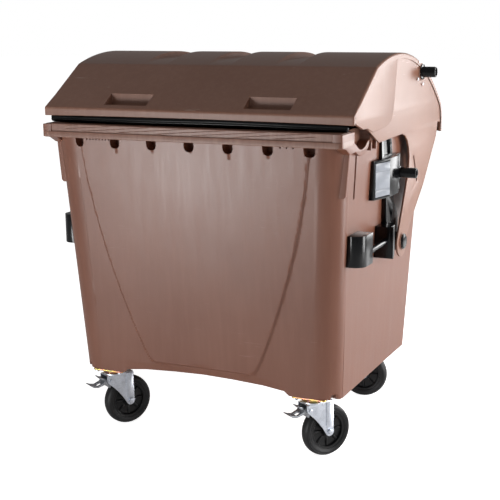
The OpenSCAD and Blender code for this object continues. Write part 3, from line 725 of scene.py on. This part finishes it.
# %% Side panels
step_line = [(-0.019, 1.4795), (-0.022, 1.44), (-0.033, 1.393), (-0.052, 1.301), (-0.064, 1.268),
             (-0.080, 1.248), (-0.102, 1.236), (-0.132, 1.229), (-0.212, 1.223), (-0.290, 1.221),
             (-0.350, 1.2395)]
inset = 0.0045
top_edge = [(lip_y + 0.001, lip_top - 0.004), (lip_y + 0.010, lip_top + 0.002)]
top_edge += arc(dome_centre, dome_radius - inset, front_turn - 0.3, back_turn, 60)
lower_edge = [(0.6115, 1.1965), (0.6125, skirt_end + 0.002), (0.598, skirt_end), (0.590, 1.176),
              (0.556, 1.180), (0.549, 1.150), (0.540, 1.121), (0.366, 0.942), (0.190, 0.808)]
pivot = (0.085, 0.756)
arm_inner = [(0.062, 0.838), (0.072, 0.858), (0.084, 0.878), (0.150, 1.005), (0.162, 1.045),
             (0.166, 1.080), (0.158, 1.115), (0.138, 1.146), (0.105, 1.168), (0.066, 1.178),
             (-0.210, 1.175), (-0.343, 1.238), (-0.392, 1.240), (-0.478, 1.268)]
outline = top_edge + [(0.609, 1.218)] + lower_edge + arc(pivot, 0.060, 10, -195, 40) + arm_inner
outline += [(lip_y + 0.001, 1.268)]
slot_lean, slot_run, slot_half = math.radians(25), 0.106, 0.007
slot_low = (0.2683, 0.975)
slot_high = (slot_low[0] - slot_run * math.sin(slot_lean), slot_low[1] + slot_run * math.cos(slot_lean))
long_slot = arc(slot_low, slot_half, 205, 385, 10) + arc(slot_high, slot_half, 25, 205, 10)
both_plates("lid_side_panel", "lid", lid_brown, [outline, long_slot],
            lid_half - 0.012, lid_half - 0.0038, 0.0022)
proud_top = [p for p in top_edge if p[0] < step_line[0][0] - 0.002]
proud = proud_top + step_line + [(-0.392, 1.2405), (-0.478, 1.268), (lip_y + 0.001, 1.268)]
both_plates("lid_proud_panel", "lid", lid_brown, [proud],
            lid_half - 0.006, lid_half - 0.0002, 0.0018)
bosses = [((0.085, 0.756), 0.033), ((0.300, 1.401), 0.034)]
for count, (middle, radius) in enumerate(bosses):
    both_plates(f"lid_boss_{count}", "lid", lid_brown, [arc(middle, radius, 0, 354, 60)],
                lid_half - 0.006, lid_half - 0.0001, 0.0015)
print("side panels made")

# %% [markdown]
# ## The seal
# A soft rubber strip closes the gap between the lip and the rim. It never lies quite straight: it
# bulges and waves along its length, and its gloss makes that visible. The strip is a swept oval whose
# middle and size drift with a few slow waves.

# %% The wavy seal
def seal_tube():
    x = np.linspace(-0.604, 0.604, 260)
    turn = np.linspace(0, 2 * math.pi, 28, endpoint=False)
    bulge = np.exp(-((x - 0.02) / 0.30) ** 2)
    closing = np.sqrt(np.clip(1 - np.clip((np.abs(x) - 0.594) / 0.010, 0, 1) ** 2, 0.001, None))
    mid_y = -0.4800 - 0.0055 * bulge + 0.0016 * np.sin(11 * x + 0.6)
    mid_z = 1.2520 + 0.0022 * bulge + 0.0012 * np.sin(8 * x)
    half_y = (0.0105 + 0.0015 * bulge) * closing
    half_z = (0.0140 + 0.0006 * np.sin(16 * x)) * closing
    fold = 1 - 0.20 * np.exp(-((np.sin(turn) - 0.12) / 0.16) ** 2) * (np.cos(turn) < 0)
    y = mid_y[:, None] + half_y[:, None] * np.cos(turn) * fold
    z = mid_z[:, None] + half_z[:, None] * np.sin(turn)
    return np.stack([x[:, None] + 0 * y, y, z], -1)


seal_points = seal_tube()
rows, columns = seal_points.shape[:2]
seal_faces = grid_faces(rows, columns, around=True).tolist()
seal_faces += [list(range(columns - 1, -1, -1)), list(range((rows - 1) * columns, rows * columns))]
add_piece("lid_seal_strip", "lid", seal_rubber, seal_points.reshape(-1, 3), seal_faces,
          ["lid_seal"], 60)
print("seal made")

# %% [markdown]
# ## Wheels
# Tyre and wheel body are turned shapes, so each is a profile spun round the axle. The tyre has a round
# tread with rings on its shoulder, the wheel body a dished web with ribs between hub and rim. Where the
# axle lies and which way it points is read from the frame.

# %% Spinning profiles round an axle
corners = ["front_left", "front_right", "rear_left", "rear_right"]


def axle_of(name):
    """Middle of a wheel and the direction of its axle, from the joint that it rolls on."""
    joint = next(j for j in frame["joints"] if j["name"] == f"roll_{name}")
    return Vector(joint["pos_m"]), Vector(joint["axis"]).normalized()


def spun(name, body, finish, profile, middle, axis, stands_for, count=96, wobble=None, crease=35):
    """profile is (radius, place along the axle), closed; wobble adds height along the axle by angle."""
    side = axis.cross(Vector((0, 0, 1))).normalized()
    over = side.cross(axis)
    turns = np.linspace(0, 2 * math.pi, count, endpoint=False)
    radius, place = (np.array(profile)[:, i][:, None] for i in range(2))
    place = place + (wobble(radius, place, turns[None, :]) if wobble else 0 * turns[None, :])
    frame_axes = [np.array(v) for v in (side, over, axis)]
    points = (np.array(middle) + (radius * np.cos(turns))[..., None] * frame_axes[0]
              + (radius * np.sin(turns))[..., None] * frame_axes[1] + place[..., None] * frame_axes[2])
    rows = len(profile)
    faces = grid_faces(rows, count, around=True).tolist()
    faces += [[(rows - 1) * count + c, (rows - 1) * count + (c + 1) % count, (c + 1) % count, c]
              for c in range(count)]
    points = points.reshape(-1, 3) - np.array([0, tub_y, 0])
    return add_piece(name, body, finish, points, faces, stands_for, crease)


tyre_profile = [(0.0725, -0.0185), (0.0745, -0.0205), (0.077, -0.0215), (0.079, -0.0222),
                (0.0802, -0.0214), (0.0815, -0.0222), (0.086, -0.0228), (0.0885, -0.0225),
                (0.0897, -0.0213), (0.0912, -0.0218), (0.0945, -0.0190), (0.0972, -0.0150),
                (0.0988, -0.0105), (0.0997, -0.0055), (0.1, 0.0)]
tyre_profile += [(r, -p) for r, p in tyre_profile[-2::-1]]
hub_half = [(0.0142, -0.0248), (0.0205, -0.0248), (0.0222, -0.0235), (0.0238, -0.012), (0.026, -0.0085),
            (0.036, -0.0062), (0.050, -0.0058), (0.0595, -0.0068), (0.0620, -0.0090), (0.0632, -0.0160),
            (0.0650, -0.0176), (0.070, -0.0180), (0.0722, -0.0186)]
hub_profile = hub_half + [(r, -p) for r, p in hub_half[::-1]]


def ribs(radius, place, turns):
    """Eight ribs stand out of the web between hub and rim, on both faces."""
    between = smooth_step(radius - 0.025, 0.004) * smooth_step(0.0625 - radius, 0.003)
    from_rib = np.abs(np.mod(turns + math.pi / 8, math.pi / 4) - math.pi / 8)
    rib = smooth_step(0.11 - from_rib * radius / 0.045, 0.05)
    return np.sign(place) * 0.006 * between * rib


for name in corners:
    middle, axis = axle_of(name)
    body = f"wheel_{name}"
    spun(f"tyre_ring_{name}", body, tyre_rubber, tyre_profile[::-1], middle, axis,
         [f"tyre_{name}"])
    spun(f"wheel_body_{name}", body, hub_plastic, hub_profile[::-1], middle, axis,
         [f"hub_{name}"], 192, ribs)
print("four wheels")

# %% [markdown]
# ## Fittings that keep their CAD shape
# Brackets, handles, pins, forks and plates are already the right shape. What they lack is the small
# radius that every real edge has and that catches the light, so each gets a weld, which joins the
# imported faces, and a bevel on its sharp edges, and then its own finish.

# %% Edges and finishes of the CAD fittings
def dress(node, finish, edge, segments=2, angle=35):
    piece = frame["nodes"][node]
    piece.data.materials.clear()
    piece.data.materials.append(finish.material)
    piece.data.shade_smooth()
    weld = piece.modifiers.new("weld", "WELD")
    weld.merge_threshold = 0.00001
    if edge:
        bevel = piece.modifiers.new("edges", "BEVEL")
        bevel.width, bevel.segments, bevel.limit_method = edge, segments, "ANGLE"
        bevel.angle_limit, bevel.harden_normals = math.radians(angle), True
        bevel.use_clamp_overlap = True


for side in ("left", "right"):
    dress(f"trunnion_bracket_{side}", black_plastic, 0.0025, 3)
    dress(f"side_handle_{side}", black_plastic, 0.003, 3)
    dress(f"trunnion_pin_{side}", black_plastic, 0.0015)
    dress(f"opener_pin_{side}", black_plastic, 0.0015)
    dress(f"pivot_cap_{side}", black_plastic, 0.0012)
    dress(f"pivot_bush_{side}", bush_plastic, 0.0005)
    dress(f"pivot_axle_{side}", bright_zinc, 0.001)
    dress(f"reflector_{side}", pale_panel, 0.0008)
    dress(f"brake_pedal_{side}", dark_zinc, 0.0015)
    dress(f"brake_rod_{side}", bright_zinc, 0.0008)
for name in corners:
    dress(f"castor_plate_{name}", yellow_zinc, 0.0012)
    dress(f"fork_{name}", bright_zinc, 0.0008)
    dress(f"axle_{name}", bright_zinc, 0.0012)
    dress(f"bearing_{name}", dark_zinc, 0.0006)
dress("drain_plug", black_plastic, 0.001)
dress("drain_seal", seal_rubber, 0.0005)
for node in ("bracket_bolts", "castor_bolts", "kingpins", "opener_rivets"):
    dress(node, bright_zinc, 0.0008)
print("CAD fittings dressed")

# %% [markdown]
# ## Floor and light
# The container stands on a plain pale floor that runs back out of sight. A pale surround lights it
# softly from everywhere. Both look white, but give less light than that, or their glare would wash the
# brown out. One large soft lamp on the right makes the side brighter than the front, and a
# smaller one at the front left gives the upper front its sheen.

# %% Floor, surround and lamps
floor_mesh = bpy.data.meshes.new("floor")
floor_mesh.from_pydata([(-30, -30, 0), (30, -30, 0), (30, 30, 0), (-30, 30, 0)], [], [(0, 1, 2, 3)])
studio_floor = bpy.data.objects.new("floor", floor_mesh)
floor_finish = Finish("studio_floor", (250, 250, 250), 0.9)
seen = floor_finish.add("ShaderNodeLightPath", out="Is Camera Ray")
floor_glow = floor_finish.mix(seen, (118, 118, 118), (255, 255, 255))
floor_finish.set(Emission_Color=floor_glow, Emission_Strength=0.85)
floor_mesh.materials.append(floor_finish.material)
bpy.context.scene.collection.objects.link(studio_floor)

world = bpy.data.worlds.new("studio")
world.use_nodes = True
surround = world.node_tree.nodes
links = world.node_tree.links
height = surround.new("ShaderNodeSeparateXYZ")
links.new(surround.new("ShaderNodeTexCoord").outputs["Generated"], height.inputs[0])
glow = surround.new("ShaderNodeMapRange")
glow.inputs["From Min"].default_value, glow.inputs["From Max"].default_value = -0.05, 0.75
glow.inputs["To Min"].default_value, glow.inputs["To Max"].default_value = 0.27, 0.26
links.new(height.outputs["Z"], glow.inputs["Value"])
seen_directly = surround.new("ShaderNodeLightPath")
strength = surround.new("ShaderNodeMix")
strength.inputs["B"].default_value = 1.0
links.new(seen_directly.outputs["Is Camera Ray"], strength.inputs["Factor"])
links.new(glow.outputs["Result"], strength.inputs["A"])
links.new(strength.outputs["Result"], surround["Background"].inputs["Strength"])
surround["Background"].inputs["Color"].default_value = (1, 1, 1, 1)
bpy.context.scene.world = world
bpy.context.scene.view_settings.view_transform = "Standard"


def soft_lamp(name, place, aim, size, power, colour=(1, 1, 1)):
    lamp = bpy.data.lights.new(name, "AREA")
    lamp.shape, lamp.size, lamp.size_y, lamp.energy, lamp.color = "RECTANGLE", size[0], size[1], power, colour
    holder = bpy.data.objects.new(name, lamp)
    holder.location = place
    holder.rotation_euler = (Vector(aim) - Vector(place)).to_track_quat("-Z", "Y").to_euler()
    bpy.context.scene.collection.objects.link(holder)


soft_lamp("side_lamp", (4.0, 0.4, 1.1), (0.6, 0, 0.8), (1.6, 1.9), 128)
soft_lamp("back_lamp", (2.6, 3.4, 1.6), (0.6, 0, 0.9), (1.6, 2.2), 90)
soft_lamp("front_lamp", (-1.5, -3.5, 0.35), (-0.1, -0.5, 0.8), (1.1, 0.8), 58)
print("floor and lamps")
